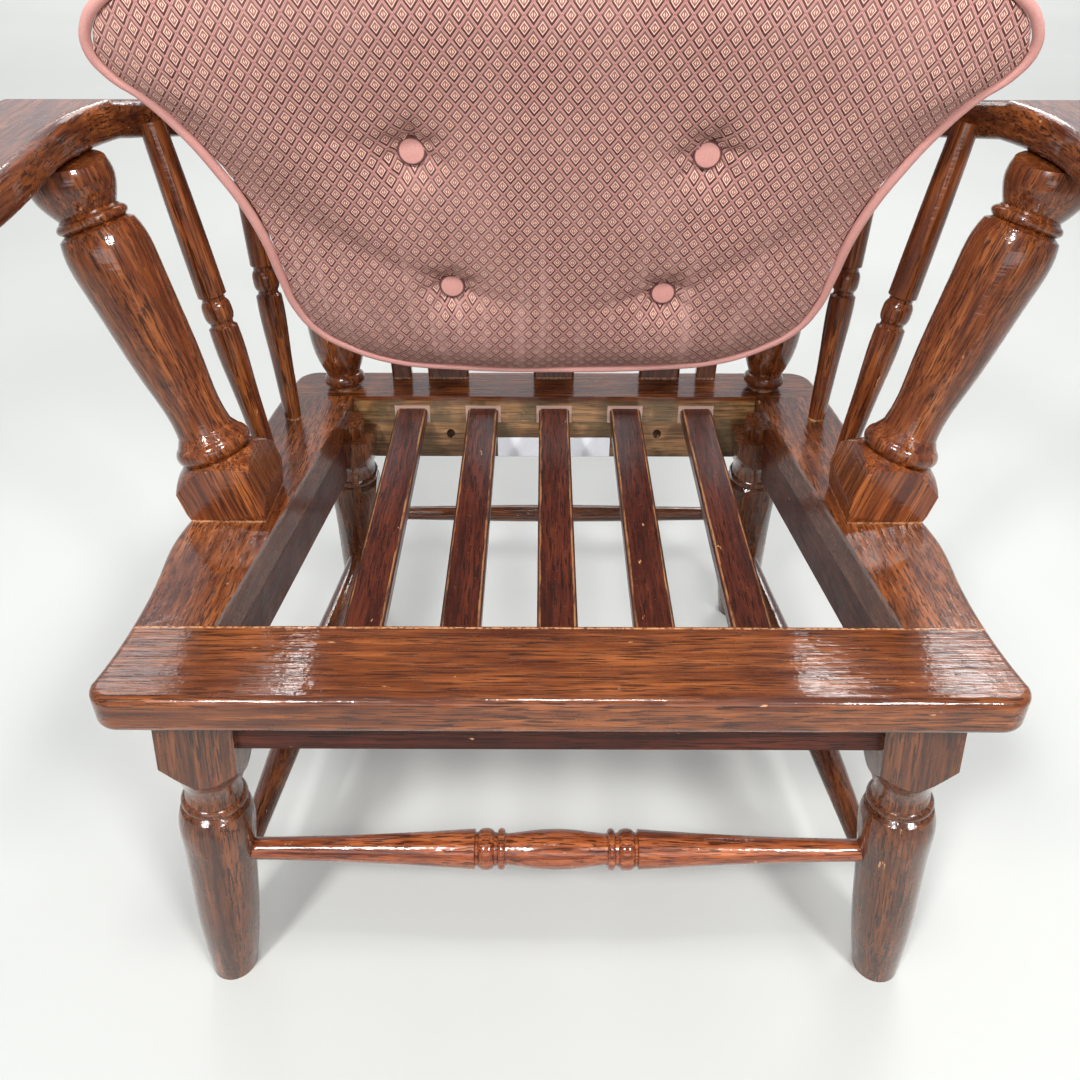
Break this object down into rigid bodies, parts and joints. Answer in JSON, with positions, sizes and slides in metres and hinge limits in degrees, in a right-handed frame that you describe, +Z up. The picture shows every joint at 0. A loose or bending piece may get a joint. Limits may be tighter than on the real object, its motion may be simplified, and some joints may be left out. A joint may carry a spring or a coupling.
{
  "type": "fireside armchair",
  "caption": "Turned oak fireside armchair with flat shaped arms, open slatted seat frame and a loose buttoned back cushion.",
  "frame": {"origin": "centre of the chair's bounding box in plan, on the floor under the feet", "axes": "+Z up, -Y is the front of the chair (towards a sitter's knees), +X is to the right for someone looking at the chair from the front"},
  "size_m": [0.8612, 0.5896, 0.7746],
  "materials": {
    "cushion_fabric": "matte",
    "dark_varnished_oak": "gloss",
    "label_paper": "satin",
    "piping_fabric": "matte",
    "varnished_oak": "gloss"
  },
  "bodies": {
    "root": {"back_cushion": "cushion_fabric", "blank_label": "label_paper", "centre_back_splat": "varnished_oak", "crest_rail": "varnished_oak", "front_apron": "dark_varnished_oak", "front_piping": "piping_fabric", "front_rail": "varnished_oak", "front_stretcher": "varnished_oak", "left_apron": "dark_varnished_oak", "left_arm": "varnished_oak", "left_arm_post": "varnished_oak", "left_back_post": "varnished_oak", "left_front_leg": "varnished_oak", "left_front_spindle": "varnished_oak", "left_narrow_back_splat": "varnished_oak", "left_rear_leg": "varnished_oak", "left_rear_spindle": "varnished_oak", "left_side_rail": "varnished_oak", "left_stretcher": "varnished_oak", "left_wide_back_splat": "varnished_oak", "lower_left_button": "piping_fabric", "lower_right_button": "piping_fabric", "rear_apron": "dark_varnished_oak", "rear_piping": "piping_fabric", "rear_rail": "varnished_oak", "rear_stretcher": "varnished_oak", "right_apron": "dark_varnished_oak", "right_arm": "varnished_oak", "right_arm_post": "varnished_oak", "right_back_post": "varnished_oak", "right_front_leg": "varnished_oak", "right_front_spindle": "varnished_oak", "right_narrow_back_splat": "varnished_oak", "right_rear_leg": "varnished_oak", "right_rear_spindle": "varnished_oak", "right_side_rail": "varnished_oak", "right_stretcher": "varnished_oak", "right_wide_back_splat": "varnished_oak", "seat_slat_1": "dark_varnished_oak", "seat_slat_2": "dark_varnished_oak", "seat_slat_3": "dark_varnished_oak", "seat_slat_4": "dark_varnished_oak", "seat_slat_5": "dark_varnished_oak", "upper_left_button": "piping_fabric", "upper_right_button": "piping_fabric"}
  },
  "joints": []
}
